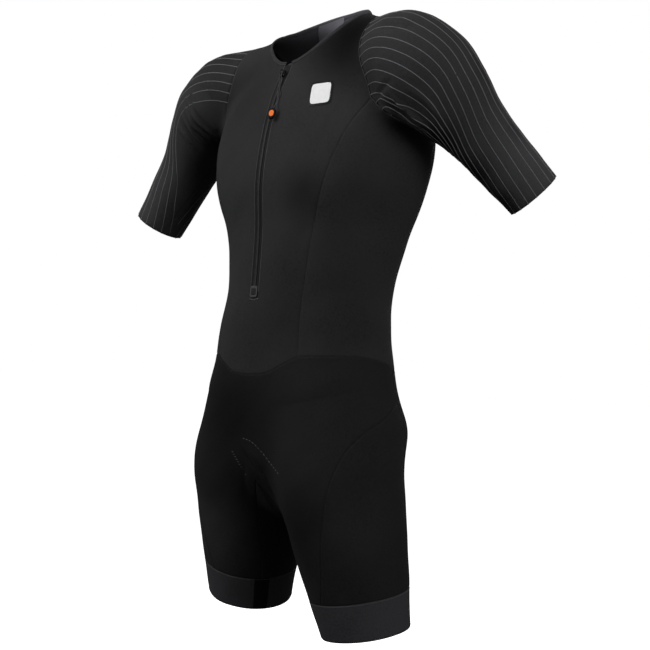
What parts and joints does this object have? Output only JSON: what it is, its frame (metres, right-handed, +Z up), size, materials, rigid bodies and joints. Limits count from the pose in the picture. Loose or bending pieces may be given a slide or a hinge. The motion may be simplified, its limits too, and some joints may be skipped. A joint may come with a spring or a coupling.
{
  "type": "triathlon suit",
  "caption": "One-piece triathlon suit with short ribbed sleeves, a long front zip and shorts with leg gripper bands, filled out as worn.",
  "frame": {"origin": "on the suit's middle plane at the height of its shoulders, where a wearer's shoulders or a hanger hold it", "axes": "+Z up, the front with its zip faces -Y, and +X is the wearer's left"},
  "size_m": [0.7375, 0.2885, 0.9625],
  "materials": {
    "body_knit": "matt fine knit",
    "shorts_knit": "matt fine knit",
    "sleeve_rib": "knit with raised ribs along the sleeve",
    "gripper_band": "matt elastic band",
    "black_band": "matt elastic band",
    "zip_tape": "woven tape",
    "zip_teeth": "satin",
    "slider_black": "satin black",
    "moulded_black": "satin",
    "orange_rubber": "matt",
    "patch_white": "matt film",
    "label_grey": "woven"
  },
  "bodies": {
    "suit": {"front": "body_knit", "side_left": "body_knit", "side_right": "body_knit", "back": "body_knit", "sleeve_left": "sleeve_rib", "sleeve_right": "sleeve_rib", "shorts_front": "shorts_knit", "shorts_back": "shorts_knit", "thigh_left": "shorts_knit", "thigh_right": "shorts_knit", "gripper_left": "gripper_band", "gripper_right": "gripper_band", "gripper_strip_left": "black_band", "gripper_strip_right": "black_band", "zip_tape_left": "zip_tape", "zip_tape_right": "zip_tape", "zip_chain": "zip_teeth", "collar_binding": "zip_tape", "zip_guard": "zip_tape", "zip_stop": "moulded_black", "chest_badge": "patch_white", "neck_label": "label_grey", "slider": "slider_black"},
    "pull": {"pull_cord": "moulded_black", "pull_grip": "moulded_black", "pull_dot": "orange_rubber"}
  },
  "joints": [
    {"name": "pull_swing", "type": "hinge", "parent": "suit", "child": "pull", "pos_m": [0, -0.08172, -0.07323], "axis": [-1, 0, 0], "range_deg": [0, 150]}
  ]
}
